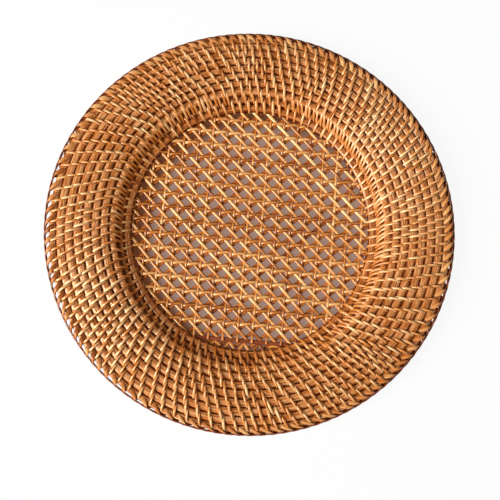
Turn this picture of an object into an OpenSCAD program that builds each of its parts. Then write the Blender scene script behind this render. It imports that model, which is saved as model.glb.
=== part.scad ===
// Round charger plate of hooped rods, lashed side by side, round a floor of open woven cane.
// The origin is on the surface that the plate rests on, at the middle, with +Z up.

/* [Overall] */
// Diameter over the wraps of the edge
plate_d = 330; // [290:5:380]

/* [Rods] */
// Thickness of the hooped rods
rod_d = 6; // [5:0.1:6.6]

/* [Lashing] */
// Thickness of the split cane strand that lashes the rods, which is also the gap between two rods
strand_t = 0.9; // [0.6:0.05:1.1]
// Width of that strand
strand_w = 1.9; // [1.2:0.05:1.95]
// Stitches in each row of lashing
stitches = 108; // [72:1:110]
// Depth to which the lowest strands are worn flat, where the plate rests on them
worn_t = 0.3; // [0.1:0.05:0.5]

/* [Profile] */
// Slope in degrees from the floor rod up to the wall rod
floor_slope = 24; // [10:1:40]
// Slope in degrees from the wall rod up to the first rim rod
wall_slope = 50; // [35:1:65]
// Slope in degrees from the first to the second rim rod
shoulder_slope = 28; // [18:1:35]
// Slope in degrees after the shoulder, where the rim starts to level out
rim_slope_in = 14; // [8:1:20]
// Slope in degrees at the outermost rods, where the rim bends down
rim_slope_out = -10; // [-16:1:4]

/* [Edge] */
// Thickness of the cord that runs round the edge
cord_d = 2.3; // [1.6:0.1:3]
// Slope in degrees from the outermost rod to the cord
cord_slope = -14; // [-30:1:20]

/* [Woven floor] */
// Distance between two rows of the weave
row_pitch = 11.2; // [10:0.1:13]
// Distance between two uprights of the weave
upright_pitch = 11.7; // [10:0.1:13]
// Turn of the weave in degrees, seen from above
weave_turn = -5; // [-15:1:15]
// Height of the underside of the weave over the surface that the plate rests on
weave_lift = 1.5; // [1:0.1:2]
// Width of the rising strips, which lie lowest
rising_w = 2.2; // [1.4:0.1:3]
// Thickness of the rising strips
rising_t = 0.7; // [0.4:0.05:0.9]
// Width of the rows
row_w = 2.3; // [1.4:0.1:3]
// Thickness of the rows
row_t = 0.9; // [0.5:0.05:1]
// Width of the uprights
upright_w = 1.7; // [1:0.1:2.4]
// Thickness of the uprights
upright_t = 0.8; // [0.5:0.05:1]
// Width of the half-round falling strands, which lie on top
falling_w = 2.7; // [1.8:0.1:3.2]
// Thickness of the falling strands
falling_t = 1.1; // [0.7:0.05:1.3]
// Width of the dark stake that takes the place of the last row
stake_w = 3.1; // [2.4:0.1:4]
// Width of the cane in the peaked loops beyond the stake
peak_w = 1.7; // [1:0.1:2.2]

/* [Hidden] */
// Rods from the floor outwards: the floor rod, the wall rod and the rim rods
rim_rods = 8;
rod_names = concat(["floor_rod", "wall_rod"], [for (i = [1 : rim_rods]) str("rim_rod_", i)]);
lashing_names = concat(["floor_lashing", "wall_lashing"], [for (i = [1 : rim_rods - 1]) str("rim_lashing_", i)]);
EDGE = ["edge_cord", "edge_wraps"];
WEAVE = ["cane_rising", "cane_rows", "end_stake", "end_peaks", "cane_uprights", "cane_falling"];

rod_r = rod_d / 2;
cord_r = cord_d / 2;
rod_pitch = rod_d + strand_t;
// Each row of lashing starts a third of a stitch after the row inside it
stagger_share = 1 / 3;
stitch_turn = 360 / stitches;

// Slope of each step from one rod to the next
rim_steps = rim_rods - 2;
rim_bend = (rim_slope_out - rim_slope_in) / (rim_steps - 1);
slopes = concat(
    [floor_slope, wall_slope, shoulder_slope],
    [for (i = [0 : rim_steps - 1]) rim_slope_in + i * rim_bend]
);
function sum_cos(k) = k == 0 ? 0 : sum_cos(k - 1) + cos(slopes[k - 1]);
function sum_sin(k) = k == 0 ? 0 : sum_sin(k - 1) + sin(slopes[k - 1]);

// The outermost rod hangs inside the cord, and the floor rod is found by going back inwards
last_rod = rim_rods + 1;
cord_reach = rod_r + strand_t + cord_r;
cord_ring_r = plate_d / 2 - strand_t - cord_r;
last_ring_r = cord_ring_r - cord_reach * cos(cord_slope);
floor_ring_r = last_ring_r - rod_pitch * sum_cos(last_rod);
floor_ring_z = rod_r + strand_t - worn_t;
function ring_r(k) = floor_ring_r + rod_pitch * sum_cos(k);
function ring_z(k) = floor_ring_z + rod_pitch * sum_sin(k);
cord_ring_z = ring_z(last_rod) + cord_reach * sin(cord_slope);

// Heights of the four layers of the weave, each face to face with the next
row_z = weave_lift + rising_t;
upright_z = row_z + row_t;
falling_z = upright_z + upright_t;
// The strands of the weave end against the lashing of the floor rod
weave_r = floor_ring_r - rod_r - strand_t;
// Past the last row there is room for half the stake and for the tips of the peaked loops
row_reach = weave_r - stake_w / 2 - 2 * peak_w;
rows_each_way = floor(row_reach / row_pitch);
uprights_each_way = floor((weave_r - upright_w) / upright_pitch + 1 / 2);
// Slant of the diagonals, which climb one row for each upright
slant = atan2(row_pitch, upright_pitch);
slant_pitch = upright_pitch * sin(slant);
slants_each_way = floor((weave_r - falling_w) / slant_pitch);
stake_y = -rows_each_way * row_pitch;
// Peaks whose tips lie wholly within the floor
peak_y = stake_y - stake_w / 2;
tip_reach = peak_y - peak_w;
peaks_each_way = floor(sqrt(weave_r * weave_r - tip_reach * tip_reach) / upright_pitch);

rod_color = "#C08552";
lashing_color = "#D9A066";
edge_color = "#A8693C";
cane_color = "#DE9E54";
stake_color = "#7A3F22";
$fn = 48;
// Steps round a circle where a large round cuts small pieces
fine_fn = 240;

// Hoop of round section about the Z axis
module hoop(r, z, section_r) {
    rotate_extrude()
        translate([r, z])
            circle(section_r);
}

// Ring of wall t round a round of radius r, on one side of the X axis: side is 1 above it and -1 below
module half_ring(r, t, side) {
    reach = r + t;
    intersection() {
        difference() {
            circle(reach);
            circle(r);
        }
        translate([-reach, side > 0 ? 0 : -reach])
            square([2 * reach, reach]);
    }
}

// One side of the loop below. In the turned frame the straight run leaves the first round at its X axis.
module half_loop(r1, r2, d, t, side) {
    a = acos((r1 - r2) / d);
    run = d * sin(a);
    reach = d + r1 + t;
    intersection() {
        rotate(side * a) {
            half_ring(r1, t, side);
            translate([r1, side > 0 ? -run : 0])
                square([t, run]);
            translate([r1 - r2, -side * run])
                half_ring(r2, t, -side);
        }
        translate([-reach, side > 0 ? 0 : -reach])
            square([2 * reach, reach]);
    }
}

// Section of a strand, t thick, drawn tight round two rounds of radius r1 and r2 that lie d apart along X
module loop_section(r1, r2, d, t) {
    for (side = [-1, 1])
        half_loop(r1, r2, d, t, side);
}

// One row of stitches round the rounds at (r, z) and, d further along the slope, of radius r1 and r2
module stitch_row(r, z, slope, r1, r2, d, start) {
    turn = 2 * asin(strand_w / (2 * r));
    for (i = [0 : stitches - 1])
        rotate([0, 0, (i + start) * stitch_turn - turn / 2])
            rotate_extrude(angle = turn)
                translate([r, z])
                    rotate(slope)
                        loop_section(r1, r2, d, strand_t);
}

module ring_rod(k) {
    color(rod_color)
        hoop(ring_r(k), ring_z(k), rod_r);
}

// The innermost row of lashing is worn flat where the plate rests on it
module lashing(k) {
    color(lashing_color)
        difference() {
            stitch_row(ring_r(k), ring_z(k), slopes[k], rod_r, rod_r, rod_pitch, k * stagger_share);
            if (k == 0)
                translate([-plate_d / 2, -plate_d / 2, -rod_d])
                    cube([plate_d, plate_d, rod_d]);
        }
}

module edge_cord() {
    color(edge_color)
        hoop(cord_ring_r, cord_ring_z, cord_r);
}

module edge_wraps() {
    color(edge_color)
        stitch_row(ring_r(last_rod), ring_z(last_rod), cord_slope, rod_r, cord_r, cord_reach, last_rod * stagger_share);
}

// Cuts what it is given where the lashing of the floor rod runs, and turns it with the weave
module inside_floor_rod() {
    difference() {
        rotate(weave_turn)
            children();
        hoop(floor_ring_r, floor_ring_z, rod_r + strand_t);
    }
}

// Half length of a strand that passes the middle at the distance off, as far as the floor rod's middle
function half_run(off) = sqrt(floor_ring_r * floor_ring_r - off * off);

// Flat strip along X
module strip(off, w, z, t) {
    translate([-half_run(off), off - w / 2, z])
        cube([2 * half_run(off), w, t]);
}

// Strip along X with a crowned top
module crowned_strip(off, w, z, t) {
    crown_r = (w * w / 4 + t * t) / (2 * t);
    translate([-half_run(off), off, z])
        rotate([90, 0, 90])
            linear_extrude(2 * half_run(off))
                intersection() {
                    translate([0, t - crown_r])
                        circle(crown_r);
                    translate([-w / 2, 0])
                        square([w, t]);
                }
}

// Takes away what reaches past the dark stake
module short_of_stake(cut_y, z, t) {
    difference() {
        children();
        translate([-plate_d / 2, cut_y - plate_d / 2, z - t])
            cube([plate_d, plate_d / 2, 3 * t]);
    }
}

module cane_rising() {
    color(cane_color)
        inside_floor_rod()
            short_of_stake(peak_y, weave_lift, rising_t)
                rotate(slant)
                    for (i = [-slants_each_way : slants_each_way])
                        strip(i * slant_pitch, rising_w, weave_lift, rising_t);
}

module cane_rows() {
    color(cane_color)
        inside_floor_rod()
            for (i = [1 - rows_each_way : rows_each_way])
                strip(i * row_pitch, row_w, row_z, row_t);
}

module end_stake() {
    color(stake_color)
        inside_floor_rod()
            strip(stake_y, stake_w, row_z, row_t);
}

// Place along Y where the legs of a peak end, over the floor rod's middle
function foot_y(i) = -half_run((abs(i) + 1 / 2) * upright_pitch - upright_w / 2);

// Peaked loops of cane between the floor rod and the stake, one between each two uprights
module end_peaks() {
    foot_x = upright_pitch / 2 - upright_w / 2 - peak_w / 2;
    color(cane_color)
        inside_floor_rod($fn = fine_fn)
            for (i = [-peaks_each_way : peaks_each_way])
                for (side = [0, 1])
                    translate([i * upright_pitch, 0, row_z])
                        mirror([side, 0])
                            linear_extrude(row_t)
                                polygon([
                                    [0, peak_y],
                                    [0, tip_reach],
                                    [foot_x - peak_w / 2, foot_y(i)],
                                    [foot_x + peak_w / 2, foot_y(i)]
                                ]);
}

module cane_uprights() {
    color(cane_color)
        inside_floor_rod()
            rotate(90)
                for (i = [-uprights_each_way : uprights_each_way - 1])
                    strip((i + 1 / 2) * upright_pitch, upright_w, upright_z, upright_t);
}

module cane_falling() {
    color(cane_color)
        inside_floor_rod()
            short_of_stake(stake_y, falling_z, falling_t)
                rotate(-slant)
                    for (i = [-slants_each_way : slants_each_way])
                        crowned_strip(i * slant_pitch, falling_w, falling_z, falling_t);
}

for (k = [0 : last_rod])
    ring_rod(k);
for (k = [0 : last_rod - 1])
    lashing(k);
edge_cord();
edge_wraps();
cane_rising();
cane_rows();
end_stake();
end_peaks();
cane_uprights();
cane_falling();
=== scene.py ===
import math
from collections import namedtuple
import bmesh
import bpy
import numpy as np
from mathutils import Matrix, Vector


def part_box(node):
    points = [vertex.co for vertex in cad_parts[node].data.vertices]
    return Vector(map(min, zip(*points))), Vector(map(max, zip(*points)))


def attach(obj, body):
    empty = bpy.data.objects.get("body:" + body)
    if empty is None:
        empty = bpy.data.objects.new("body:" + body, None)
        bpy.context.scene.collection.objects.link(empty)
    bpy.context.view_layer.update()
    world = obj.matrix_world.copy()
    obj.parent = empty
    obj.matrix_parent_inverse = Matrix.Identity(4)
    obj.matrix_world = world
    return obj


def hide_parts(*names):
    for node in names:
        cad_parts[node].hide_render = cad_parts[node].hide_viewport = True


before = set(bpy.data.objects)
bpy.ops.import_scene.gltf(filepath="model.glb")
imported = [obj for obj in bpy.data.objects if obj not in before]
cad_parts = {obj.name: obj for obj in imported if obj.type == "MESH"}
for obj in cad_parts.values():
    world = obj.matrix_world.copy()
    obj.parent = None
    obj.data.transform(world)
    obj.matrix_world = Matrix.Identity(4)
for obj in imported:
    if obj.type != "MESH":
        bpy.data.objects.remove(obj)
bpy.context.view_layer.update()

# Sizes are in millimetres and are made metres where they meet Blender
MM = 0.001

# Nodes from the middle outwards. Each row of lashing ties the rod of its own place in the list to the next.
RIM_RODS = 8
ROD_NODES = ["floor_rod", "wall_rod"] + [f"rim_rod_{i}" for i in range(1, RIM_RODS + 1)]
LASHING_NODES = ["floor_lashing", "wall_lashing"] + [f"rim_lashing_{i}" for i in range(1, RIM_RODS)]
WALL_ROW = 1
EDGE_ROW = len(LASHING_NODES)

# Seeds of the random draws: for the places of the stitches, the looks of the first row of lashing and of the
# wraps, and the places of the floor's strands
PLACES_SEED = 11
LASHING_SEED = 40
WRAPS_SEED = 77
WEAVE_SEED = 5


def new_object(name, data):
    made = bpy.data.objects.new(name, data)
    bpy.context.scene.collection.objects.link(made)
    return made


# Camera, at the place that the photograph was taken from

# Degrees from straight above, and degrees round from the near side
CAMERA_TILT = 9.2
CAMERA_TURN = -10.5
CAMERA_DISTANCE = 590.0
AIM_HEIGHT = 11
# The photograph's width, its focal length and the shift of its middle, in its pixels
PHOTO_WIDTH = 500
PHOTO_FOCAL = 729.0
PHOTO_SHIFT = (-0.6, -23.3)
SENSOR_WIDTH = 36.0


def aim_camera():
    tilt, turn = math.radians(CAMERA_TILT), math.radians(CAMERA_TURN)
    back = Vector((math.sin(tilt) * math.sin(turn), -math.sin(tilt) * math.cos(turn), math.cos(tilt)))
    side = (-back).cross(Vector((0, 1, 0))).normalized()
    up = side.cross(-back)
    place = Matrix((side, up, back)).transposed().to_4x4()
    place.translation = back * (CAMERA_DISTANCE * MM) + Vector((0, 0, AIM_HEIGHT * MM))
    data = bpy.data.cameras.new("camera")
    data.sensor_width = SENSOR_WIDTH
    data.lens = PHOTO_FOCAL * SENSOR_WIDTH / PHOTO_WIDTH
    data.shift_x = PHOTO_SHIFT[0] / PHOTO_WIDTH
    data.shift_y = PHOTO_SHIFT[1] / PHOTO_WIDTH
    data.clip_start = 0.01
    data.clip_end = 20
    camera = new_object("camera", data)
    camera.matrix_world = place
    bpy.context.scene.camera = camera


# Node helpers for every kind of tree

def feed(tree, socket, value):
    """Links a socket to another one or gives it a plain value. None leaves it as it is."""
    if isinstance(value, bpy.types.NodeSocket):
        tree.links.new(value, socket)
    elif value is not None:
        socket.default_value = value


def feed_all(tree, node, inputs):
    """Feeds a node's inputs, which are given by their names or numbers."""
    for key, value in inputs.items():
        feed(tree, node.inputs[key], value)


def add(tree, kind, inputs=None, **settings):
    """A new node, with its settings made before its inputs are fed."""
    made = tree.nodes.new(kind)
    for key, value in settings.items():
        setattr(made, key, value)
    feed_all(tree, made, inputs or {})
    return made


def maths(tree, operation, *values):
    return add(tree, "ShaderNodeMath", dict(enumerate(values)), operation=operation).outputs[0]


def plus(tree, first, second):
    return maths(tree, "ADD", first, second)


def minus(tree, first, second):
    return maths(tree, "SUBTRACT", first, second)


def times(tree, first, second):
    return maths(tree, "MULTIPLY", first, second)


def unsigned(tree, value):
    return maths(tree, "ABSOLUTE", value)


def held(tree, value, low=0.0, high=1.0):
    """A number that is kept from going past its bounds."""
    return maths(tree, "MINIMUM", maths(tree, "MAXIMUM", value, low), high)


def blend_of(tree, share, low, high):
    """A number that goes from low to high as a share goes from 0 to 1."""
    return add(tree, "ShaderNodeMapRange", {"Value": share, "To Min": low, "To Max": high}).outputs[0]


def soft_step(tree, value, low, high):
    """0 up to low, 1 from high on, and a smooth rise between them."""
    inputs = {"Value": value, "From Min": low, "From Max": high}
    return add(tree, "ShaderNodeMapRange", inputs, interpolation_type="SMOOTHSTEP").outputs[0]


def vector_maths(tree, operation, *values):
    """The result is a vector, or a number for a length or a distance."""
    made = add(tree, "ShaderNodeVectorMath", dict(enumerate(values)), operation=operation)
    return made.outputs["Value" if operation in ("LENGTH", "DISTANCE") else "Vector"]


def scaled(tree, vector, size):
    return add(tree, "ShaderNodeVectorMath", {0: vector, "Scale": size}, operation="SCALE").outputs[0]


def parts(tree, vector):
    """The three numbers of a vector."""
    return add(tree, "ShaderNodeSeparateXYZ", {0: vector}).outputs


def joined(tree, x=None, y=None, z=None):
    """A vector of three numbers, each 0 where it is left out."""
    return add(tree, "ShaderNodeCombineXYZ", {0: x, 1: y, 2: z}).outputs[0]


def mixed_tones(tree, share, low, high):
    """A mix of two colours. A mix node keeps its sockets for colours at these numbers."""
    return add(tree, "ShaderNodeMix", {0: share, 6: low, 7: high}, data_type="RGBA").outputs[2]


# Helpers for geometry trees

def open_tree(name, floats, others):
    """A new tree that takes a geometry, numbers by name, and other values by name and kind."""
    tree = bpy.data.node_groups.new(name, "GeometryNodeTree")
    taken = {"Geometry": "Geometry", **dict.fromkeys(floats, "Float"), **others}
    for label, kind in taken.items():
        tree.interface.new_socket(label, in_out="INPUT", socket_type="NodeSocket" + kind)
    tree.interface.new_socket("Geometry", in_out="OUTPUT", socket_type="NodeSocketGeometry")
    return tree, add(tree, "NodeGroupInput").outputs


def close_tree(tree, geometry, material):
    smooth = add(tree, "GeometryNodeSetShadeSmooth", {"Geometry": geometry})
    real = add(tree, "GeometryNodeRealizeInstances", {0: smooth.outputs[0]})
    finish = add(tree, "GeometryNodeSetMaterial", {"Geometry": real.outputs[0], "Material": material})
    add(tree, "NodeGroupOutput", {0: finish.outputs[0]})


def position(tree):
    return add(tree, "GeometryNodeInputPosition").outputs[0]


def stored(tree, name, kind="FLOAT"):
    return add(tree, "GeometryNodeInputNamedAttribute", {"Name": name}, data_type=kind).outputs[0]


def ring(tree, steps, radius):
    return add(tree, "GeometryNodeCurvePrimitiveCircle", {"Resolution": steps, "Radius": radius}).outputs[0]


def put(tree, geometry, place=None, offset=None):
    inputs = {"Geometry": geometry, "Position": place, "Offset": offset}
    return add(tree, "GeometryNodeSetPosition", inputs).outputs[0]


def sweep(tree, curve, section, scale=None, caps=False):
    inputs = {"Curve": curve, "Profile Curve": section, "Scale": scale, "Fill Caps": caps}
    return add(tree, "GeometryNodeCurveToMesh", inputs).outputs[0]


def mark_painted_shade(tree, section, aside, crest, side):
    """Stores how much painted shade each point of a section gets: none up to the crest and all from the side
    on, by how far it lies aside of the middle.
    """
    inputs = {"Name": "flank", "Geometry": section, "Value": soft_step(tree, aside, crest, side)}
    kept = add(tree, "GeometryNodeStoreNamedAttribute", inputs, data_type="FLOAT", domain="POINT")
    return kept.outputs[0]


# Pieces and their points

def mesh_piece(name, points, edges=(), faces=()):
    mesh = bpy.data.meshes.new(name)
    mesh.from_pydata([tuple(p) for p in points], [tuple(e) for e in edges], [tuple(f) for f in faces])
    mesh.update()
    return new_object(name, mesh)


def store(piece, name, kind, values):
    layer = piece.data.attributes.new(name, kind, "POINT")
    key = "vector" if kind == "FLOAT_VECTOR" else "value"
    layer.data.foreach_set(key, np.asarray(values, float).ravel())


def face_outwards(mesh):
    work = bmesh.new()
    work.from_mesh(mesh)
    bmesh.ops.recalc_face_normals(work, faces=work.faces)
    work.to_mesh(mesh)
    work.free()


def grow(piece, tree, values):
    """Runs a tree on a piece and keeps the result as the piece's own plain mesh."""
    modifier = piece.modifiers.new(tree.name, "NODES")
    modifier.node_group = tree
    for item in tree.interface.items_tree:
        if item.in_out == "INPUT" and item.name in values:
            modifier[item.identifier] = values[item.name]
    start = piece.data
    evaluated = piece.evaluated_get(bpy.context.evaluated_depsgraph_get())
    made = bpy.data.meshes.new_from_object(evaluated)
    piece.modifiers.remove(modifier)
    piece.data = made
    bpy.data.meshes.remove(start)
    face_outwards(made)


def points_of(mesh):
    places = np.empty(len(mesh.vertices) * 3)
    mesh.vertices.foreach_get("co", places)
    return places.reshape(-1, 3)


def move_points(mesh, places):
    mesh.vertices.foreach_set("co", places.ravel())
    mesh.update()


def hand_over(piece, slot, *nodes):
    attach(piece, "root")
    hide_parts(*nodes)


# Places of the hoops, as the CAD nodes hold them

Hoop = namedtuple("Hoop", "radius height thick")


def hoop_of(node):
    """The hoop of a round node, in millimetres, from its box."""
    low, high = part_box(node)
    thick = high.z - low.z
    return Hoop((high.x - thick / 2) / MM, (high.z + low.z) / 2 / MM, thick / MM)


HOOPS = [hoop_of(node) for node in ROD_NODES]
LAST_ROD = HOOPS[-1]
CORD = hoop_of("edge_cord")
# The cord runs so far beyond the last rod and above its CAD ring
CORD_BEYOND = 5.8
CORD_LIFT = 0.9
CORD_RADIUS = LAST_ROD.radius + CORD_BEYOND
CORD_HEIGHT = CORD.height + CORD_LIFT

# The hand-made hoops are a little oval and off the middle: how much longer each is from near to far, and how
# far its middle lies from the plate's, for the ten rods and then the cord
HOOP_LONGER = [1.018, 1.02, 1.024, 1.021, 1.012, 1.007, 1.004, 1.001, 0.999, 0.997, 0.99]
HOOP_MIDDLE = [-0.5, -0.3, 0.0, 0.2, -0.2, -0.5, -0.7, -0.8, -1.0, -1.2, -0.3]

# Light shows between the last rod and the cord at the left. The middle of that gap, and the cosines of how
# far from it the gap ends and is fully open
GAP_ANGLE = math.radians(198)
GAP_COSINES = (0.74, 0.94)
# What lies beyond this radius goes back by this share where the gap is open
DRAW_FROM = LAST_ROD.radius + 1.5
DRAW_SHARE = 0.6


def settle(piece):
    """Moves the points of a round piece to where the hoops really run."""
    places = points_of(piece.data)
    reach = np.hypot(places[:, 0], places[:, 1]) / MM
    hoops = [hoop.radius for hoop in HOOPS] + [CORD_RADIUS]
    longer = np.interp(reach, hoops, HOOP_LONGER)
    places[:, 1] = places[:, 1] * longer + np.interp(reach, hoops, HOOP_MIDDLE) * MM
    move_points(piece.data, places)


def gap_share(angle):
    """How open the gap beside the cord is at an angle round the plate."""
    return np.interp(np.cos(angle - GAP_ANGLE), GAP_COSINES, (0, 1))


def draw_in(piece, top=LAST_ROD.height + LAST_ROD.thick):
    """Pulls what lies beyond the last rod's crest, and below a height, back from the gap beside the cord."""
    places = points_of(piece.data)
    reach = np.hypot(places[:, 0], places[:, 1])
    angle = np.arctan2(places[:, 1], places[:, 0])
    share = DRAW_SHARE * gap_share(angle) * (places[:, 2] < top * MM)
    kept = reach - np.maximum(reach - DRAW_FROM * MM, 0) * share
    places[:, :2] *= (kept / reach)[:, None]
    move_points(piece.data, places)


# Finishes

# Length, width and detail of the fine fibres and of the broader patches
FINE_STREAKS = (11, 0.4, 3)
PATCH_STREAKS = (13, 1.2, 2)
# How far apart the patterns of two tints lie in the noise
TINT_SPREAD = 37.0
ROUGHNESS = (0.24, 0.44)
BUMP_STRENGTH = 0.25
BUMP_DEPTH = 0.15
COAT_ROUGHNESS = 0.2
CANE_IOR = 1.55
SHINE_TONE = (255, 232, 190)
# The radius at which the fibres of a hoop have their true length
FIBRE_RADIUS = 130


def tone(red, green, blue):
    """A colour as it is read off a screen, from 0 to 255, made linear."""
    share = [v / 255 for v in (red, green, blue)]
    return [s / 12.92 if s < 0.04045 else ((s + 0.055) / 1.055) ** 2.4 for s in share] + [1]


def streaks(tree, along, seed, length, width, detail):
    """Noise that is drawn out along the first coordinate."""
    fitted = vector_maths(tree, "MULTIPLY", along, (1 / (length * MM), 1 / (width * MM), 1 / (width * MM)))
    inputs = {"Vector": fitted, "W": seed, "Scale": 1, "Detail": detail}
    return add(tree, "ShaderNodeTexNoise", inputs, noise_dimensions="4D").outputs["Fac"]


def fibre_group():
    """Fibres along the first coordinate, in metres: a mix of three tones, a roughness and a height. The
    painted shade that comes in lowers the tint towards the dark tone.
    """
    tree = bpy.data.node_groups.new("fibres", "ShaderNodeTree")
    floats = dict.fromkeys(("Tint", "Painted shade share", "Fine", "Patch"), "Float")
    tones = dict.fromkeys(("Light tone", "Middle tone", "Dark tone"), "Color")
    sockets = {
        "INPUT": {"Along": "Vector", **floats, **tones},
        "OUTPUT": {"Colour": "Color", "Roughness": "Float", "Height": "Float"},
    }
    for direction, kinds in sockets.items():
        for label, kind in kinds.items():
            tree.interface.new_socket(label, in_out=direction, socket_type="NodeSocket" + kind)
    enter = add(tree, "NodeGroupInput").outputs
    seed = times(tree, enter["Tint"], TINT_SPREAD)
    fine = streaks(tree, enter["Along"], seed, *FINE_STREAKS)
    patch = streaks(tree, enter["Along"], seed, *PATCH_STREAKS)
    fine_part = times(tree, minus(tree, fine, 0.5), enter["Fine"])
    patch_part = times(tree, minus(tree, patch, 0.5), enter["Patch"])
    # The painted shade lowers the tint towards the dark tone, down the sides and in the creases
    tint_less_painted_shade = minus(tree, enter["Tint"], enter["Painted shade share"])
    doubled = times(tree, plus(tree, plus(tree, fine_part, patch_part), tint_less_painted_shade), 2.0)
    lower = mixed_tones(tree, held(tree, doubled), enter["Dark tone"], enter["Middle tone"])
    colour = mixed_tones(tree, held(tree, minus(tree, doubled, 1.0)), lower, enter["Light tone"])
    roughness = blend_of(tree, patch, *ROUGHNESS)
    add(tree, "NodeGroupOutput", {"Colour": colour, "Roughness": roughness, "Height": fine})
    return tree


FIBRES = fibre_group()


def attribute(tree, name, output="Fac"):
    return add(tree, "ShaderNodeAttribute", attribute_name=name).outputs[output]


def strand_way(tree):
    """Coordinates that run along a strand, stored on its points."""
    return attribute(tree, "way", "Vector")


def strand_tint(tree):
    return attribute(tree, "tint")


def hoop_way(tree):
    """Coordinates that run round the plate, for rods: along the hoop, outwards and up."""
    x, y, z = parts(tree, add(tree, "ShaderNodeTexCoord").outputs["Object"])
    along = times(tree, maths(tree, "ARCTAN2", y, x), FIBRE_RADIUS * MM)
    reach = maths(tree, "SQRT", plus(tree, times(tree, x, x), times(tree, y, y)))
    return joined(tree, along, reach, z)


def new_material(name):
    material = bpy.data.materials.new(name)
    material.use_nodes = True
    return material, material.node_tree, material.node_tree.nodes["Principled BSDF"]


def cane_finish(name, tones, way, tint, fine, flank, coat, patch=0.6, gloss=0.5):
    """A finish of cane from a light, a middle and a dark tone. The way gives the coordinates of its fibres,
    and the tint says how light it is. Fine and patch are how strongly its fibres and patches show. The
    painted shade stored on the points, times its own argument, darkens it down the sides and where two parts
    meet, where shade falls, and takes its coat off there as well."""
    material, tree, shader = new_material(name)
    light, middle, dark = (tone(*screen) for screen in tones)
    # The share of painted shade stored on each point, most down the sides and where parts meet
    painted_shade_mask = attribute(tree, "flank")
    fibres = add(tree, "ShaderNodeGroup", {
        "Along": way(tree), "Tint": tint(tree) if callable(tint) else tint,
        "Painted shade share": times(tree, painted_shade_mask, flank), "Fine": fine, "Patch": patch,
        "Light tone": light, "Middle tone": middle, "Dark tone": dark,
    }, node_tree=FIBRES).outputs
    raised = add(tree, "ShaderNodeBump", {
        "Strength": BUMP_STRENGTH, "Distance": BUMP_DEPTH * MM, "Height": fibres["Height"],
    })
    # The coat is taken off under the painted shade, so that no sheen lightens it
    clear_of_painted_shade = maths(tree, "MAXIMUM", minus(tree, 1.0, painted_shade_mask), 0.0)
    feed_all(tree, shader, {
        "Base Color": fibres["Colour"], "Roughness": fibres["Roughness"],
        "Normal": raised.outputs[0], "IOR": CANE_IOR,
        "Specular IOR Level": gloss, "Specular Tint": tone(*SHINE_TONE),
        "Coat Weight": times(tree, clear_of_painted_shade, coat), "Coat Roughness": COAT_ROUGHNESS,
    })
    return material


ROD_FINISH = cane_finish(
    "peeled_rod", [(238, 188, 132), (192, 109, 44), (92, 30, 6)], hoop_way, 0.57,
    fine=1.4, flank=0.9, coat=0.2, patch=1.8, gloss=0.8)
# A darker copy of the rods' finish, as painted shade for the rods in the well
WELL_ROD_PAINTED_SHADE_FINISH = cane_finish(
    "peeled_rod_painted_well_shade", [(236, 182, 120), (186, 102, 40), (86, 26, 4)], hoop_way, 0.46,
    fine=1.4, flank=0.9, coat=0.2, patch=1.8, gloss=0.8)
LASHING_FINISH = cane_finish(
    "split_strand", [(252, 212, 152), (214, 126, 48), (106, 30, 2)], strand_way, strand_tint,
    fine=0.5, flank=0.8, coat=0.6, gloss=1.0)
CANE_FINISH = cane_finish(
    "floor_cane", [(255, 210, 142), (218, 136, 56), (122, 40, 2)], strand_way, strand_tint,
    fine=0.8, flank=0.46, coat=0.7, gloss=1.0)
# A darker copy of the floor's cane, as painted shade for the strips that lie low under the rows
LOW_PAINTED_SHADE_FINISH = cane_finish(
    "floor_cane_painted_shade_below", [(216, 136, 70), (182, 96, 36), (110, 36, 4)], strand_way, strand_tint,
    fine=0.6, flank=0.3, coat=0.2)
STAKE_FINISH = cane_finish(
    "dark_stake", [(158, 82, 50), (124, 56, 32), (70, 24, 12)], strand_way, 0.6,
    fine=0.9, flank=0.3, coat=0.3)
EDGE_FINISH = cane_finish(
    "edge_strand", [(238, 186, 118), (196, 114, 50), (104, 30, 2)], strand_way, strand_tint,
    fine=0.7, flank=0.7, coat=0.2, gloss=0.4)
CORD_FINISH = cane_finish(
    "edge_cord", [(196, 112, 52), (140, 64, 22), (70, 20, 4)], hoop_way, 0.48,
    fine=0.8, flank=0.9, coat=0.3)


# Rods

# The power that makes a rod's section fuller than an ellipse, and the part of its half width that is
# darkened with painted shade, for the shade where two rods meet
ROD_FULLNESS = 0.86
ROD_PAINTED_SHADE = (0.66, 0.96)
ROD_WOBBLE = 0.25
WOBBLE_SCALE = 38
# The rods from the floor to the shoulder are round and a little thicker than their pitch. Those beyond are
# wider than high, as the strands press them.
ROUND_RODS = 3
ROUND_MORE = 0.1
WIDE_MORE = 0.3
HIGH_LESS = 0.9
ROD_STEPS = 288
ROD_SIDES = 14


def hoop_section(tree, sides, breadth, thickness):
    section = ring(tree, sides, 1)
    across, up, _ = parts(tree, position(tree))
    marked = mark_painted_shade(tree, section, unsigned(tree, across), *ROD_PAINTED_SHADE)
    fuller = []
    for share, size in ((across, breadth), (up, thickness)):
        bowed = maths(tree, "POWER", unsigned(tree, share), ROD_FULLNESS)
        fuller.append(times(tree, times(tree, bowed, maths(tree, "SIGN", share)), times(tree, size, 0.5)))
    return put(tree, marked, joined(tree, *fuller))


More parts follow.
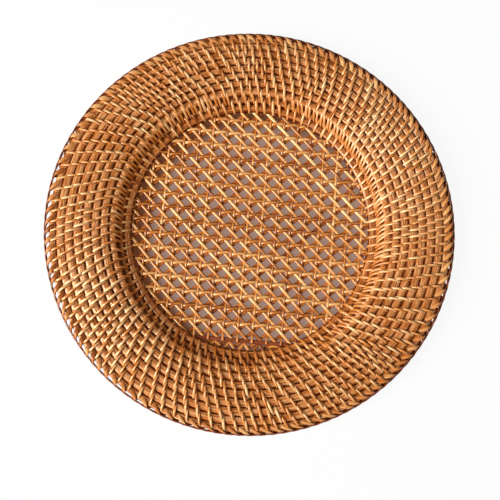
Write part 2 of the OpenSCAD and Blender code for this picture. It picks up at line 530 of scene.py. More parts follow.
def hoop_tree():
    """A rod bent to a hoop that wobbles a little."""
    floats = ("Radius", "Height", "Thickness", "Breadth", "Wobble", "Seed")
    tree, enter = open_tree("hoop", floats, {"Steps": "Int", "Sides": "Int", "Material": "Material"})
    inputs = {"Vector": position(tree), "W": enter["Seed"], "Scale": WOBBLE_SCALE, "Detail": 1}
    noise = add(tree, "ShaderNodeTexNoise", inputs, noise_dimensions="4D")
    aside = vector_maths(tree, "SUBTRACT", noise.outputs["Color"], (0.5, 0.5, 0.5))
    lift = joined(tree, z=enter["Height"])
    shift = vector_maths(tree, "ADD", scaled(tree, aside, enter["Wobble"]), lift)
    line = put(tree, ring(tree, enter["Steps"], enter["Radius"]), offset=shift)
    section = hoop_section(tree, enter["Sides"], enter["Breadth"], enter["Thickness"])
    close_tree(tree, sweep(tree, line, section), enter["Material"])
    return tree


def make_rods():
    tree = hoop_tree()
    for index, (node, hoop) in enumerate(zip(ROD_NODES, HOOPS)):
        near = [HOOPS[i] for i in (index - 1, index + 1) if 0 <= i < len(HOOPS)]
        apart = min(math.dist(hoop[:2], other[:2]) for other in near)
        high = wide = apart + ROUND_MORE
        if index >= ROUND_RODS:
            high, wide = hoop.thick - HIGH_LESS, apart + WIDE_MORE
        rod = mesh_piece(node.replace("rod", "hooped_rod"), [(0, 0, 0)])
        grow(rod, tree, {
            "Radius": hoop.radius * MM, "Height": hoop.height * MM,
            "Thickness": high * MM, "Breadth": wide * MM,
            "Wobble": ROD_WOBBLE * MM, "Seed": 3.0 * index, "Steps": ROD_STEPS, "Sides": ROD_SIDES,
            "Material": ROD_FINISH if node.startswith("rim") else WELL_ROD_PAINTED_SHADE_FINISH,
        })
        if node == ROD_NODES[-1]:
            draw_in(rod)
        settle(rod)
        hand_over(rod, "rod", node)


# One turn of a strand round two rods

# The power of its arch over the rods: 1 is an ellipse, less is fuller and more comes nearer to a tent
ARCH = 1.25
STEEP_ARCH = 0.9
ARCH_STEPS = 8
# How much higher than the rods the arch is
ARCH_HEIGHT = 1.18
# The way back under the rods: 1 for the outer rod and -1 for the inner one, and an angle round that rod
UNDER_STOPS = ((1, -0.35), (1, -1.2), (-1, -1.95), (-1, -2.8))
# The strand's section: how far aside and how high each corner is, and how much painted shade it gets there,
# most at its base, where it meets the rods and shade falls
STRAND_CORNERS = (
    (-0.5, 0.0, 1.3), (0.5, 0.0, 1.3), (0.45, 0.72, 0.2),
    (0.22, 1.0, 0.0), (-0.22, 1.0, 0.0), (-0.45, 0.72, 0.2))
TAPER_POWER = 1.6
# The share of its painted shade that a strand keeps on its way back under the rods
PAINTED_SHADE_UNDER = 0.4


def strand_lane(inner, outer, apart, arch):
    """A strand's way round two rods, as seen along them: over both in a flat arch and back under them."""
    lane = []
    for step in range(ARCH_STEPS + 1):
        angle = math.pi * (1 - step / ARCH_STEPS)
        rod = inner if angle > math.pi / 2 else outer
        along = math.copysign(abs(math.cos(angle)) ** arch, math.cos(angle))
        rise = max(inner, outer) * ARCH_HEIGHT * abs(math.sin(angle)) ** arch
        lane.append((along * (apart / 2 + rod), rise))
    for side, angle in UNDER_STOPS:
        rod = outer if side > 0 else inner
        lane.append((side * apart / 2 + rod * math.cos(angle), rod * math.sin(angle)))
    return lane + lane[:1]


def with_outwards(lane):
    """The spots of a lane, each with the direction away from the rods."""
    made = []
    first, last = lane[0], lane[-1]
    wider = [(first[0], first[1] - 1), *lane, (last[0], last[1] + 1)]
    for before, spot, after in zip(wider, lane, wider[2:]):
        run, rise = after[0] - before[0], after[1] - before[1]
        long = math.hypot(run, rise)
        made.append((*spot, -rise / long, run / long))
    return made


def one_turn(inner, outer, apart, width, thick, arch=ARCH, taper=0.0, under=1.0):
    """One turn of a strand, open at its ends. X runs outwards, Y along the hoop and Z up. The first half of
    its way goes over the rods and the rest goes back under them, at a share of its thickness there."""
    lane = with_outwards(strand_lane(inner, outer, apart, arch))
    gone = [0.0]
    for spot, after in zip(lane, lane[1:]):
        gone.append(gone[-1] + math.dist(spot[:2], after[:2]))
    half = gone[ARCH_STEPS]
    points, ways, shares, painted_shades = [], [], [], []
    for far, (x, z, out_x, out_z) in zip(gone, lane):
        share = 0.5 * far / half if far <= half else 0.5 + 0.5 * (far - half) / (gone[-1] - half)
        over = share <= 0.5
        here = width * (1 - taper * abs(4 * min(share, 0.5) - 1) ** TAPER_POWER)
        for side, rise, flank in STRAND_CORNERS:
            high = rise * thick * (1 if over else under)
            points.append(((x + out_x * high) * MM, side * here * MM, (z + out_z * high) * MM))
            ways.append((far * MM, side * here * MM, rise * thick * MM))
            shares.append(share)
            painted_shades.append(flank * (1 if over else PAINTED_SHADE_UNDER))
    turn = mesh_piece("one_turn", points, faces=tube_faces(len(lane), len(STRAND_CORNERS)))
    store(turn, "way", "FLOAT_VECTOR", ways)
    store(turn, "share", "FLOAT", shares)
    store(turn, "flank", "FLOAT", painted_shades)
    return turn


def tube_faces(rings, corners):
    faces = []
    for first in range(0, (rings - 1) * corners, corners):
        for corner in range(corners):
            beside = (corner + 1) % corners
            face = (corner, corners + corner, corners + beside, beside)
            faces.append(tuple(first + point for point in face))
    return faces


# Rows of stitches

STITCHES_IN_ROW = [95, 95, 96, 100, 106, 114, 118, 120, 120, 120]
STRAND_WIDTH = 2.1
STRAND_THICK = 0.92
# In the well the strands are wider, and the tints of the two rows there are darker, as painted shade for the
# shade in the well
WELL_ROWS = 2
WELL_WIDER = 1.2
WELL_PAINTED_SHADE_TINT = 0.56
RIM_TINT = 0.68
TINT_VARIES = 0.12
TINT_BOUNDS = (0.1, 0.9)
# A strand's thickness on its way under the rods, as a share
THICK_UNDER = 0.6
# The rows that climb from the floor to the rim have the fuller arch
STEEP_ROWS = 3
# Lean of the stitches in degrees at every 15 degrees round the plate, from +X anticlockwise
LEAN_ROUND = [11, 16, 18, 11, 7, 14, 8, 14, 11, 8, 11, 18, 14, 15, 12, 9, 10, 18, 15, 21, 11, 10, 14, 18]
# The same for the stitches of the steep wall, at every 45 degrees
WALL_LEAN_ROUND = [34, 27, 16, 2, -24, 4, 22, 28]
LEAN_VARIES = math.radians(3)
WIDTH_VARIES = (0.88, 1.14)
# How far the stitches of the first row and of the later ones stray, as a share of their pitch
FIRST_ROW_STRAYS = 0.1
LATER_ROW_STRAYS = 0.05
# The share of its width by which a stitch keeps from the end of the one inside it
KEPT_APART = 0.8
# How often a row is evened out, and how much each stitch keeps its own place then
EVENINGS = 4
OWN_PLACE = 0.6
# Where the wall's stitches are doubled: the middle of the stretch and the cosine at its ends
WALL_DOUBLED = ((10, 0.5), (142, 0.74))
# The place of such a stitch between two others
DOUBLED_SHARE = 0.42
# Beside the open gap a strand goes on to its next turn later, and its tint is lowered there as painted shade
LATE_IN_GAP = 3.5
PAINTED_SHADE_IN_GAP = 0.2
# What is wider under the rods gets there in this part of the way back: one in so many
WIDENING = 20.0
# Ends of turns that are nearer than this are joined
SEAM = 0.01


def row_tree():
    """Bends copies of one turn round the plate. The points carry each turn's angle, lean, width and tint."""
    others = {"One turn": "Object", "Material": "Material"}
    tree, enter = open_tree("lashing row", ("Radius", "Height", "Slope"), others)
    source = add(tree, "GeometryNodeObjectInfo", {"Object": enter["One turn"]})
    inputs = {"Points": enter["Geometry"], "Instance": source.outputs["Geometry"]}
    copies = add(tree, "GeometryNodeInstanceOnPoints", inputs)
    real = add(tree, "GeometryNodeRealizeInstances", {0: copies.outputs[0]})
    across, along, above = parts(tree, position(tree))
    shift = shift_of(tree, along)
    cosine, sine = maths(tree, "COSINE", enter["Slope"]), maths(tree, "SINE", enter["Slope"])
    out = minus(tree, times(tree, across, cosine), times(tree, above, sine))
    up = plus(tree, times(tree, across, sine), times(tree, above, cosine))
    reach = plus(tree, enter["Radius"], out)
    angle = plus(tree, stored(tree, "turn"), maths(tree, "DIVIDE", shift, enter["Radius"]))
    x = times(tree, reach, maths(tree, "COSINE", angle))
    y = times(tree, reach, maths(tree, "SINE", angle))
    bent = put(tree, real.outputs[0], joined(tree, x, y, plus(tree, enter["Height"], up)))
    whole = add(tree, "GeometryNodeMergeByDistance", {"Geometry": bent, "Distance": SEAM * MM})
    close_tree(tree, whole.outputs[0], enter["Material"])
    return tree


def shift_of(tree, along):
    """How far a spot of a turn lies along the hoop, by the lean of the turn and the strand's width."""
    start, crest, end = parts(tree, stored(tree, "lean", "FLOAT_VECTOR"))
    wide_start, wide_end, wider_under = parts(tree, stored(tree, "form", "FLOAT_VECTOR"))
    share, late = stored(tree, "share"), stored(tree, "late")
    over = held(tree, times(tree, share, 2.0))
    under = held(tree, minus(tree, times(tree, share, 2.0), 1.0))
    lean_over = times(tree, minus(tree, crest, start), over)
    # Under the rods a strand goes back to where it began before it goes on, most of all where it goes on late
    soon = maths(tree, "POWER", under, maths(tree, "DIVIDE", 1.0, late))
    going_back = times(tree, minus(tree, start, crest), soon)
    going_on = times(tree, minus(tree, end, start), maths(tree, "POWER", under, late))
    lean = plus(tree, start, plus(tree, lean_over, plus(tree, going_back, going_on)))
    spread = times(tree, held(tree, times(tree, under, WIDENING)), wider_under)
    wide = plus(tree, blend_of(tree, share, wide_start, wide_end), spread)
    return plus(tree, lean, times(tree, along, wide))


def lean_at(turns, row):
    """Lean of a row's stitches at angles round the plate."""
    leans = WALL_LEAN_ROUND if row == WALL_ROW else LEAN_ROUND
    steps = np.arange(len(leans) + 1) * math.tau / len(leans)
    return np.radians(np.interp(turns % math.tau, steps, leans + leans[:1]))


def gaps_after(turns):
    return np.diff(np.append(turns, turns[0] + math.tau))


def next_row(turns, row, count, rng):
    """Angles of the row outside a row. Each of its stitches starts beside the end of one of the row inside
    it, and where it has more stitches, some gaps take two."""
    hoop = HOOPS[row + 1]
    lean = (np.tan(lean_at(turns, row)) + np.tan(lean_at(turns, row + 1))) / 2
    beside = (hoop.thick * lean + STRAND_WIDTH * KEPT_APART) / hoop.radius
    extra = count - len(turns)
    doubled = set()
    if extra > 0:
        first = rng.integers(len(turns))
        doubled = {int(first + i * len(turns) / extra) % len(turns) for i in range(extra)}
    placed = []
    for index, (turn, gap, step) in enumerate(zip(turns, gaps_after(turns), beside)):
        placed.append(turn + step)
        if index in doubled:
            placed.append(turn + step + gap * 0.5)
    return np.array(placed)


def evened(turns):
    for _ in range(EVENINGS):
        ahead = np.append(turns[1:], turns[0] + math.tau)
        behind = np.append(turns[-1] - math.tau, turns[:-1])
        turns = turns * OWN_PLACE + (ahead + behind) * (1 - OWN_PLACE) / 2
    return turns


def strayed(rng, count, amount):
    """How far each of a row's stitches strays, as an angle."""
    return rng.uniform(-amount, amount, count) * math.tau / count


def row_turns():
    """Angles of the stitches of each row."""
    rng = np.random.default_rng(PLACES_SEED)
    count = STITCHES_IN_ROW[0]
    turns = np.arange(count) * math.tau / count + strayed(rng, count, FIRST_ROW_STRAYS)
    rows = [turns]
    for row, count in enumerate(STITCHES_IN_ROW[1:]):
        turns = evened(next_row(turns, row, count, rng))
        turns = turns + strayed(rng, len(turns), LATER_ROW_STRAYS)
        rows.append(turns)
    return rows


ROW_TURNS = row_turns()


def stitch_turns(row):
    turns = ROW_TURNS[row]
    if row == WALL_ROW:
        between = turns + DOUBLED_SHARE * gaps_after(turns)
        doubled = [np.cos(between - math.radians(middle)) > end for middle, end in WALL_DOUBLED]
        turns = np.sort(np.append(turns, between[np.any(doubled, 0)]))
    return turns


def stitch_points(name, row, radius, across, seed, more_lean, wider_under):
    """One point for each stitch of a row, with what the row's tree needs to know of it."""
    rng = np.random.default_rng(seed)
    turns = stitch_turns(row)
    count = len(turns)
    lean = lean_at(turns, row) + rng.normal(0, LEAN_VARIES, count)
    start = np.tan(lean) * across / 2
    reach = np.tan(lean + math.radians(more_lean)) * across - start
    gap = gaps_after(turns) * radius
    wide = rng.uniform(*WIDTH_VARIES, count)
    # What is wider under the rods, to close the gap beside the cord, stays open at the left of the plate
    bare = gap_share(turns) * (wider_under > 0)
    # The two rows in the well take a lower tint, as painted shade
    usual = WELL_PAINTED_SHADE_TINT if row < WELL_ROWS else RIM_TINT
    # Beside the open gap the wraps' tint is lowered, as painted shade
    tints = rng.normal(usual, TINT_VARIES, count) - PAINTED_SHADE_IN_GAP * bare
    piece = mesh_piece(name, np.zeros((count, 3)))
    store(piece, "turn", "FLOAT", turns)
    leans = np.stack([-start, reach, gap - np.roll(start, -1)], 1) * MM
    store(piece, "lean", "FLOAT_VECTOR", leans)
    forms = np.stack([wide, np.roll(wide, -1), (1 - bare) * wider_under], 1)
    store(piece, "form", "FLOAT_VECTOR", forms)
    store(piece, "late", "FLOAT", 1 + LATE_IN_GAP * bare)
    store(piece, "tint", "FLOAT", np.clip(tints, *TINT_BOUNDS))
    return piece


def wind(name, row, inner, outer, tree, finish, seed, strand, more_lean=0.0, wider_under=0.0):
    """One strand that winds round an inner and an outer hoop, all the way round the plate."""
    apart = math.dist(inner[:2], outer[:2])
    radius = (inner.radius + outer.radius) / 2
    across = apart + (inner.thick + outer.thick) / 2
    turn = one_turn(inner.thick / 2, outer.thick / 2, apart, **strand)
    piece = stitch_points(name, row, radius, across, seed, more_lean, wider_under)
    grow(piece, tree, {
        "One turn": turn, "Material": finish,
        "Radius": radius * MM, "Height": (inner.height + outer.height) / 2 * MM,
        "Slope": math.atan2(outer.height - inner.height, outer.radius - inner.radius),
    })
    bpy.data.objects.remove(turn)
    return piece


def make_lashing():
    tree = row_tree()
    for row, node in enumerate(LASHING_NODES):
        inner = HOOPS[row]
        outer = HOOPS[row + 1]._replace(thick=inner.thick)
        strand = {
            "width": STRAND_WIDTH * (WELL_WIDER if row < WELL_ROWS else 1), "thick": STRAND_THICK,
            "arch": STEEP_ARCH if row < STEEP_ROWS else ARCH, "under": THICK_UNDER,
        }
        name = node.replace("lashing", "wound_strand")
        piece = wind(name, row, inner, outer, tree, LASHING_FINISH, LASHING_SEED + row, strand)
        if node == LASHING_NODES[-1]:
            draw_in(piece)
        settle(piece)
        hand_over(piece, "lashing", node)


# Woven floor

# The rows and uprights of its lattice, and how the lattice is turned and moved, across and along the rows
ROW_PITCH = 11.2
UPRIGHT_PITCH = 11.7
WEAVE_TURN = math.radians(-5)
WEAVE_SHIFT = (3.4, 0.4)
# The radius at which the strands end, within the floor rod, and the count of rows and uprights to either side
FLOOR_REACH = 99.5
SPAN = 9
# The dark stake takes the place of this row and lies a little nearer
STAKE_ROW = -8
STAKE_NEARER = 2.2
STAKE_Y = STAKE_ROW * ROW_PITCH - STAKE_NEARER
STAKE_HEIGHT = 2.9
# How far past the row of the stake the falling strands and the uprights go
FALLING_PAST = 2.0
UPRIGHTS_PAST = 4.4
# A row rises just past each upright, slants up to the right and steps down under the next one
ROW_SHARES = [0, 0.1, 0.2, 0.35, 0.5, 0.65, 0.8, 0.9, 1]
ROW_HEIGHTS = [2.55, 3.3, 3.85, 3.95, 3.85, 3.65, 3.3, 2.7, 2.55]
ROW_SLANTS = [-0.2, -0.6, -0.6, -0.3, 0.05, 0.35, 0.6, 0.4, -0.2]
# The uprights' middle height and how far they swing from it, by the rows and then where they lie on the
# stake, and where that begins and how it fits on, in rows
UPRIGHT_HEIGHT = 2.85
UPRIGHT_SWING = 0.75
ON_STAKE_HEIGHT = 3.9
ON_STAKE_SWING = 0.1
ON_STAKE_FROM = 0.25
ON_STAKE_PHASE = 0.2
# The peaked loops: how many lie to either side of the middle one, half their width, how far past the stake
# their tips lie, the radius that their feet reach at a place so far aside, how sharply they bend, and their
# height
PEAKS_ASIDE = 2
PEAK_HALF = 4.2
PEAK_PAST = 2.2
FOOT_REACH = 99.6
FOOT_ASIDE = 4
PEAK_BEND = 1.3
PEAK_HEIGHT = 3.0
# How far strands stray from their lines, and how often along them
SLANTING_STRAY = 0.3
ROW_STRAY = 0.1
UPRIGHT_STRAY = 0.12
STRAY_RATES = (0.4, 0.9, 1.7)
# Sections: the width, half the height of the oval, and its lowest and highest
RISING_FORM = (2.5, 0.55, -0.3, 0.3)
FALLING_FORM = (2.75, 1.05, -0.35, 0.95)
ROW_FORM = (2.75, 0.7, -0.36, 0.55)
UPRIGHT_FORM = (2.2, 0.75, -0.36, 0.6)
STAKE_FORM = (3.4, 0.9, -0.8, 0.8)
PEAK_FORM = (2.7, 0.5, -0.36, 0.4)
# How much the strands' tints vary, the share of strands that are darker, and their tint
STRAND_VARIES = 0.13
STRAND_BOUNDS = (0.1, 1.0)
DARKER_SHARE = 0.08
DARKER_TINT = 0.34
# The part of a floor strand's half width, from the middle out, that is darkened with painted shade down its
# sides
STRAND_PAINTED_SHADE = (0.4, 1.0)
FEWEST_POINTS = 4


def strand_tree():
    """Sweeps a section along lines. The section is an oval, cut flat at its lowest and its highest."""
    floats = ("Width", "Round", "Lowest", "Highest")
    tree, enter = open_tree("cane strand", floats, {"Sides": "Int", "Material": "Material"})
    lines = add(tree, "GeometryNodeMeshToCurve", {"Mesh": enter["Geometry"]})
    level = add(tree, "GeometryNodeSetCurveNormal", {"Curve": lines.outputs[0]}, mode="Z_UP")
    section = ring(tree, enter["Sides"], 1)
    across, up, _ = parts(tree, position(tree))
    wide = times(tree, across, times(tree, enter["Width"], 0.5))
    high = held(tree, times(tree, up, enter["Round"]), enter["Lowest"], enter["Highest"])
    marked = mark_painted_shade(tree, section, unsigned(tree, across), *STRAND_PAINTED_SHADE)
    # Swept along a line, the section's top would point down, so it is turned over
    shaped = put(tree, marked, joined(tree, wide, times(tree, high, -1.0)))
    close_tree(tree, sweep(tree, level.outputs[0], shaped, caps=True), enter["Material"])
    return tree


def turned(x, y):
    """A spot of the weave's own frame, in the plate's frame."""
    x, y = x + WEAVE_SHIFT[0], y + WEAVE_SHIFT[1]
    cosine, sine = math.cos(WEAVE_TURN), math.sin(WEAVE_TURN)
    return x * cosine - y * sine, x * sine + y * cosine


def strands(name, node, routes, tree, form, finish=CANE_FINISH, *, seed, slot="cane", sides=10, usual=0.6):
    """One piece of many strands, whose tints lie about the usual one. A route is an array of points in the
    weave's own frame."""
    rng = np.random.default_rng(seed)
    points, edges, ways, tints = [], [], [], []
    for route in routes:
        if len(route) < FEWEST_POINTS:
            continue
        tint = float(np.clip(rng.normal(usual, STRAND_VARIES), *STRAND_BOUNDS))
        if rng.random() < DARKER_SHARE:
            tint = DARKER_TINT
        first = len(points)
        gone = 0.0
        for index, (x, y, z) in enumerate(route):
            plate_x, plate_y = turned(x, y)
            points.append((plate_x * MM, plate_y * MM, z * MM))
            if index:
                gone += math.dist(route[index - 1], route[index])
                edges.append((first + index - 1, first + index))
            ways.append((gone * MM, first * MM, 0))
            tints.append(tint)
    piece = mesh_piece(name, points, edges=edges)
    store(piece, "way", "FLOAT_VECTOR", ways)
    store(piece, "tint", "FLOAT", tints)
    sizes = dict(zip(("Width", "Round", "Lowest", "Highest"), (size * MM for size in form)))
    grow(piece, tree, {**sizes, "Sides": sides, "Material": finish})
    hand_over(piece, slot, node)


def route_of(spot, low, high, steps_each, keep):
    """Points of a route between two values of its count, kept where keep holds."""
    count = int(round((high - low) * steps_each))
    made = [spot(low + (high - low) * step / count) for step in range(count + 1)]
    return np.array([(x, y, z) for x, y, z in made if keep(x, y)])


def in_floor(x, y):
    near = (y + WEAVE_SHIFT[1] - HOOP_MIDDLE[0]) / HOOP_LONGER[0]
    return math.hypot(x + WEAVE_SHIFT[0], near) < FLOOR_REACH


def in_floor_to(past):
    """Whether a spot lies in the floor, and no further past the row of the stake than a length."""
    return lambda x, y: in_floor(x, y) and y > STAKE_ROW * ROW_PITCH - past


def wander(rng, amount):
    """How far a strand that is laid by hand strays from its line, by the place along it."""
    phases = rng.uniform(0, math.tau, 3)
    sizes = rng.normal(0, amount, 3)
    waves = list(zip(sizes, STRAY_RATES, phases))
    return lambda t: sum(size * math.sin(t * rate + phase) for size, rate, phase in waves)


def slanting_routes(rng, rise, height, swing, steps_each, keep):
    """Strands that cross the lattice's cells from corner to corner. They rise to the right or, with a rise of
    -1, fall. Their height swings about its middle once a cell."""
    routes = []
    for line in range(-2 * SPAN, 2 * SPAN + 1):
        drift = wander(rng, SLANTING_STRAY)

        def spot(t, line=line, drift=drift):
            level = height + swing * math.cos(math.tau * t)
            return t * UPRIGHT_PITCH + drift(t), (line + rise * t) * ROW_PITCH, level

        routes.append(route_of(spot, -2.5 * SPAN, 2.5 * SPAN, steps_each, keep))
    return routes


def row_routes(rng):
    routes = []
    for row in range(STAKE_ROW + 1, SPAN):
        drift = wander(rng, ROW_STRAY)

        def spot(t, row=row, drift=drift):
            share = (t - 0.5) % 1
            level = np.interp(share, ROW_SHARES, ROW_HEIGHTS)
            slant = np.interp(share, ROW_SHARES, ROW_SLANTS)
            return t * UPRIGHT_PITCH, row * ROW_PITCH + slant + drift(t), level

        routes.append(route_of(spot, -SPAN, SPAN, steps_each=12, keep=in_floor))
    return routes


def upright_routes(rng):
    """Uprights dip under each row. At their near ends they stay up, over the dark stake."""
    routes = []
    for line in range(-SPAN, SPAN):
        drift = wander(rng, UPRIGHT_STRAY)

        def spot(t, line=line, drift=drift):
            level = UPRIGHT_HEIGHT + UPRIGHT_SWING * math.cos(math.tau * t)
            if t < STAKE_ROW + ON_STAKE_FROM:
                phase = math.tau * (t - STAKE_ROW + ON_STAKE_PHASE)
                level = ON_STAKE_HEIGHT + ON_STAKE_SWING * math.cos(phase)
            return (line + 0.5) * UPRIGHT_PITCH + drift(t), t * ROW_PITCH, level

        routes.append(route_of(spot, -SPAN, SPAN, steps_each=10, keep=in_floor_to(UPRIGHTS_PAST)))
    return routes


def stake_route():
    half = math.sqrt(FLOOR_REACH ** 2 - (STAKE_Y + WEAVE_SHIFT[1]) ** 2)
    across = np.linspace(-half, half, 30) - WEAVE_SHIFT[0]
    return np.array([(x, STAKE_Y, STAKE_HEIGHT) for x in across])


def peak_routes():
    routes = []
    for line in range(-PEAKS_ASIDE, PEAKS_ASIDE + 1):
        middle = line * UPRIGHT_PITCH
        tip = STAKE_Y - PEAK_PAST
        foot = -math.sqrt(FOOT_REACH ** 2 - (abs(middle + WEAVE_SHIFT[0]) + FOOT_ASIDE) ** 2) - WEAVE_SHIFT[1]
        routes.append(np.array([
            (middle + PEAK_HALF * share, tip + (foot - tip) * abs(share) ** PEAK_BEND, PEAK_HEIGHT)
            for share in np.linspace(-1, 1, 13)
        ]))
    return routes


def make_weave():
    tree = strand_tree()
    rng = np.random.default_rng(WEAVE_SEED)
    rising = slanting_routes(rng, rise=1, height=1.6, swing=0.1, steps_each=4, keep=in_floor)
    strands("floor_rising_strips", "cane_rising", rising, tree, RISING_FORM, LOW_PAINTED_SHADE_FINISH, seed=61)
    to_stake = in_floor_to(FALLING_PAST)
    falling = slanting_routes(rng, rise=-1, height=2.8, swing=-0.3, steps_each=8, keep=to_stake)
    strands(
        "floor_falling_strands", "cane_falling", falling, tree, FALLING_FORM, seed=62, sides=12, usual=0.68)
    strands("floor_rows", "cane_rows", row_routes(rng), tree, ROW_FORM, seed=63)
    strands("floor_uprights", "cane_uprights", upright_routes(rng), tree, UPRIGHT_FORM, seed=64, usual=0.56)
    strands(
        "floor_dark_stake", "end_stake", [stake_route()], tree, STAKE_FORM, STAKE_FINISH,
        seed=65, slot="stake", sides=12)
    # The peaked loops take a lower tint, as painted shade, for they lie in the shade
    strands("floor_peaked_loops", "end_peaks", peak_routes(), tree, PEAK_FORM, seed=66, usual=0.42)


# Edge

# The cord's plies: the size of each, how far apart they lie, how much thicker the cord is at the right and
# thinner at the left, and its half turns round the plate
PLY = 0.65
PLIES_APART = 0.42
CORD_UNEVEN = 0.12
CORD_HALF_TURNS = 120
# The part of each ply's section, from the groove between the two plies, that is darkened with painted shade
CORD_PAINTED_SHADE = (0.45, 1.0)
CORD_STEPS = 720
CORD_SIDES = 14
# The wraps: the hoop that they go round within the cord, their strand, how much more they lean than stitches
# in degrees, and how much wider they are under the rod
WRAP_HOOP = Hoop(CORD_RADIUS - 1.2, CORD_HEIGHT, 1.0)
WRAP_STRAND = {"width": 5.0, "thick": 0.6, "taper": 0.8}
WRAP_MORE_LEAN = 36
WRAP_WIDER_UNDER = 7.5
# Beside the gap they are drawn in up to this height
WRAP_TOP = CORD_HEIGHT - 0.2


def rope_tree():
    """A cord of two plies, whose section turns as it runs round the hoop."""
    floats = ("Radius", "Height", "Ply", "Apart", "Uneven")
    tree, enter = open_tree("rope", floats, {"Half turns": "Int", "Steps": "Int", "Material": "Material"})
    lift = joined(tree, z=enter["Height"])
    line = put(tree, ring(tree, enter["Steps"], enter["Radius"]), offset=lift)
    gone = maths(tree, "DIVIDE", add(tree, "GeometryNodeInputIndex").outputs[0], enter["Steps"])
    tilt = times(tree, times(tree, gone, enter["Half turns"]), -math.pi)
    twisted = add(tree, "GeometryNodeSetCurveTilt", {"Curve": line, "Tilt": tilt})
    to_right = maths(tree, "DIVIDE", parts(tree, position(tree))[0], enter["Radius"])
    size = plus(tree, 1.0, times(tree, to_right, enter["Uneven"]))
    sized = add(tree, "GeometryNodeSetCurveRadius", {"Curve": twisted.outputs[0], "Radius": size})
    section = ring(tree, CORD_SIDES, 1)
    aside = unsigned(tree, parts(tree, position(tree))[0])
    marked = mark_painted_shade(tree, section, minus(tree, 1.0, aside), *CORD_PAINTED_SHADE)
    reach = plus(tree, times(tree, aside, enter["Apart"]), enter["Ply"])
    shaped = put(tree, marked, scaled(tree, position(tree), reach))
    scale = add(tree, "GeometryNodeInputRadius").outputs[0]
    close_tree(tree, sweep(tree, sized.outputs[0], shaped, scale), enter["Material"])
    return tree


def make_cord():
    cord = mesh_piece("edge_thin_cord", [(0, 0, 0)])
    grow(cord, rope_tree(), {
        "Radius": CORD_RADIUS * MM, "Height": CORD_HEIGHT * MM, "Ply": PLY * MM, "Apart": PLIES_APART * MM,
        "Uneven": CORD_UNEVEN, "Half turns": CORD_HALF_TURNS, "Steps": CORD_STEPS,
        "Material": CORD_FINISH,
    })
    settle(cord)
    hand_over(cord, "edge", "edge_cord")


def make_wraps():
    wraps = wind(
        "edge_wound_strand", EDGE_ROW, LAST_ROD, WRAP_HOOP, row_tree(), EDGE_FINISH, WRAPS_SEED,
        WRAP_STRAND, WRAP_MORE_LEAN, WRAP_WIDER_UNDER)
    draw_in(wraps, WRAP_TOP)
    settle(wraps)
    hand_over(wraps, "edge", "edge_wraps")


# Floor of the scene and light

STAGE_HALF = 3.0
STAGE_TONE = (235, 235, 235)
# Below the plate the stage is painted with the plate's shade: its colour is pinkish grey, and what the camera
# sees is a painted shadow, darker round a lighter patch. Each of the two ends between a first radius and a
# second.
PAINTED_SHADOW_UNDER_TONE = (196, 166, 150)
UNDER_ENDS = (115, 150)
PAINTED_SHADOW_PATCH_TONE = (160, 130, 116)
SHADE_TONE = (96, 54, 30)
PATCH_ENDS = (84, 100)
PATCH_MIDDLE = (9, -4, 0)
# The share of an even, unlit tone in what the camera sees of the stage, which holds the painted shadow below
# the plate
EVEN_SHARE = 0.92
WORLD_COLOUR = (1, 0.66, 0.36, 1)
WORLD_STRENGTH = 0.1


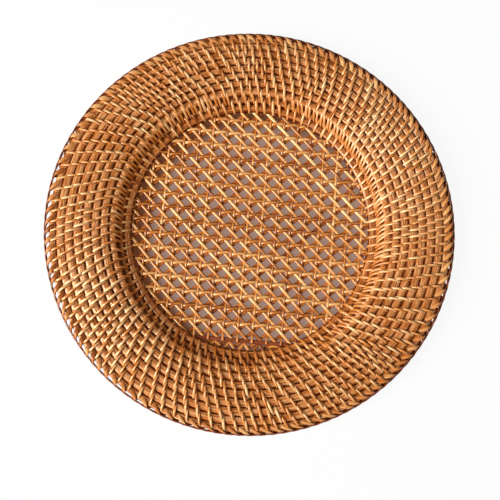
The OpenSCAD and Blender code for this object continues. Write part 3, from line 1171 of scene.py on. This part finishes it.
def stage_finish():
    material, tree, shader = new_material("pale_floor")
    place = add(tree, "ShaderNodeTexCoord").outputs["Object"]
    open_air = soft_step(tree, vector_maths(tree, "LENGTH", place), *(end * MM for end in UNDER_ENDS))
    middle = [part * MM for part in PATCH_MIDDLE]
    from_patch = vector_maths(tree, "DISTANCE", place, middle)
    shade = soft_step(tree, from_patch, *(end * MM for end in PATCH_ENDS))
    # Below the plate the stage's own colour is a painted shade of pinkish grey
    colour = mixed_tones(tree, open_air, tone(*PAINTED_SHADOW_UNDER_TONE), tone(*STAGE_TONE))
    # The painted shadow below the plate, as the camera sees it: a lighter patch with darker shade round it
    below = mixed_tones(tree, shade, tone(*PAINTED_SHADOW_PATCH_TONE), tone(*SHADE_TONE))
    even = mixed_tones(tree, open_air, below, tone(255, 255, 255))
    feed_all(tree, shader, {"Base Color": colour, "Roughness": 0.9, "Specular IOR Level": 0.1})
    # The camera sees mostly this glow: white in the open, and the painted shadow below the plate
    glow = add(tree, "ShaderNodeEmission", {"Color": even, "Strength": 1})
    seen = times(tree, add(tree, "ShaderNodeLightPath").outputs["Is Camera Ray"], EVEN_SHARE)
    mixed = add(tree, "ShaderNodeMixShader", {0: seen, 1: shader.outputs[0], 2: glow.outputs[0]})
    feed(tree, tree.nodes["Material Output"].inputs["Surface"], mixed.outputs[0])
    return material


def make_stage():
    corners = [(x * STAGE_HALF, y * STAGE_HALF, 0) for x, y in ((-1, -1), (1, -1), (1, 1), (-1, 1))]
    floor = mesh_piece("pale_floor", corners, faces=[(0, 1, 2, 3)])
    floor.data.materials.append(stage_finish())


def make_world():
    """A faint warm light from all round, and white where the camera sees past the stage."""
    world = bpy.data.worlds.new("studio")
    bpy.context.scene.world = world
    world.use_nodes = True
    tree = world.node_tree
    tree.nodes.clear()
    warm = add(tree, "ShaderNodeBackground", {"Color": WORLD_COLOUR, "Strength": WORLD_STRENGTH})
    white = add(tree, "ShaderNodeBackground", {"Color": (1, 1, 1, 1), "Strength": 1})
    seen = add(tree, "ShaderNodeLightPath").outputs["Is Camera Ray"]
    mixed = add(tree, "ShaderNodeMixShader", {0: seen, 1: warm.outputs[0], 2: white.outputs[0]})
    add(tree, "ShaderNodeOutputWorld", {0: mixed.outputs[0]})


def make_lamp(name, azimuth, elevation, distance, wide, tall, power):
    """An oval lamp that points at the plate. Its angles are in degrees and its lengths in metres."""
    data = bpy.data.lights.new(name, "AREA")
    data.shape = "ELLIPSE"
    data.size = wide
    data.size_y = tall
    data.energy = power
    lamp = new_object(name, data)
    turn, rise = math.radians(azimuth), math.radians(elevation)
    away = Vector((math.cos(turn) * math.cos(rise), math.sin(turn) * math.cos(rise), math.sin(rise)))
    lamp.location = away * distance
    lamp.rotation_mode = "QUATERNION"
    lamp.rotation_quaternion = away.to_track_quat("Z", "Y")


aim_camera()
make_rods()
make_lashing()
make_weave()
make_cord()
make_wraps()
make_stage()
make_world()
make_lamp("key_light", azimuth=200, elevation=37, distance=2.6, wide=1.49, tall=2.23, power=118)
make_lamp("fill_light", azimuth=25, elevation=50, distance=1.6, wide=1.2, tall=1.2, power=2)

bpy.context.scene.view_settings.view_transform = "Standard"
